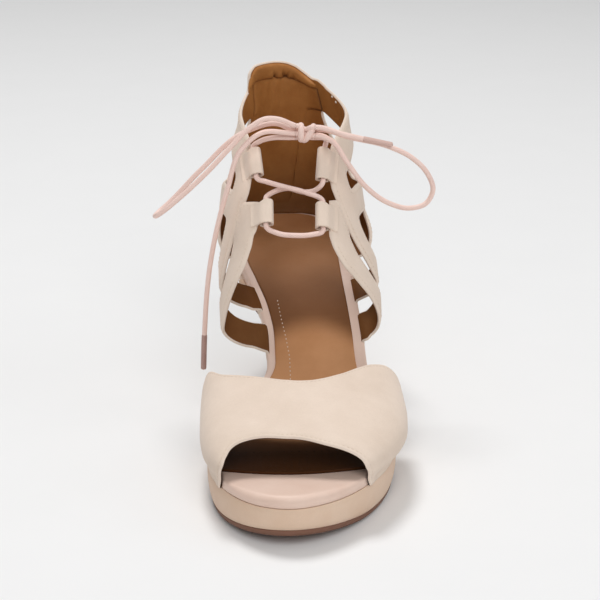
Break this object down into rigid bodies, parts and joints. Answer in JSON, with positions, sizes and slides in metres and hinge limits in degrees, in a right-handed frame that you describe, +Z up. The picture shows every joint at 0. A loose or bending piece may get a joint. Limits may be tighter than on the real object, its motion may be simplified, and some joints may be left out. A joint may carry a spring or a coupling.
{
  "type": "strappy heel",
  "caption": "Left peep-toe platform heel whose cage of ankle straps is laced through folded loops with a cord tied in a bow.",
  "frame": {"origin": "on the floor, under the middle of the shoe's footprint without its free cord", "axes": "+Y from the toe to the heel, +Z up, +X towards the lateral side (the little toe's)"},
  "size_m": [0.1367, 0.231, 0.1635],
  "materials": {
    "nude_leather": "matte nubuck in pale blush beige",
    "brown_leather": "smooth tan-brown sock leather",
    "brown_rubber": "matte brown rubber",
    "pink_cord": "round waxed cord in pale pink",
    "dipped_tip": "dipped cord end in dull mauve brown"
  },
  "bodies": {
    "root": {"footbed": "nude_leather", "platform": "nude_leather", "heel": "nude_leather", "vamp": "nude_leather", "cage": "nude_leather", "lace_loop_lower_medial": "nude_leather", "lace_loop_lower_lateral": "nude_leather", "lace_loop_upper_medial": "nude_leather", "lace_loop_upper_lateral": "nude_leather", "sock": "brown_leather", "outsole": "brown_rubber", "top_piece": "brown_rubber", "lace_threaded": "pink_cord", "lace_knot": "pink_cord", "lace_bow_medial": "pink_cord", "lace_bow_lateral": "pink_cord", "lace_end_medial": "pink_cord", "lace_end_lateral": "pink_cord", "lace_tip_medial": "dipped_tip", "lace_tip_lateral": "dipped_tip"}
  },
  "joints": []
}
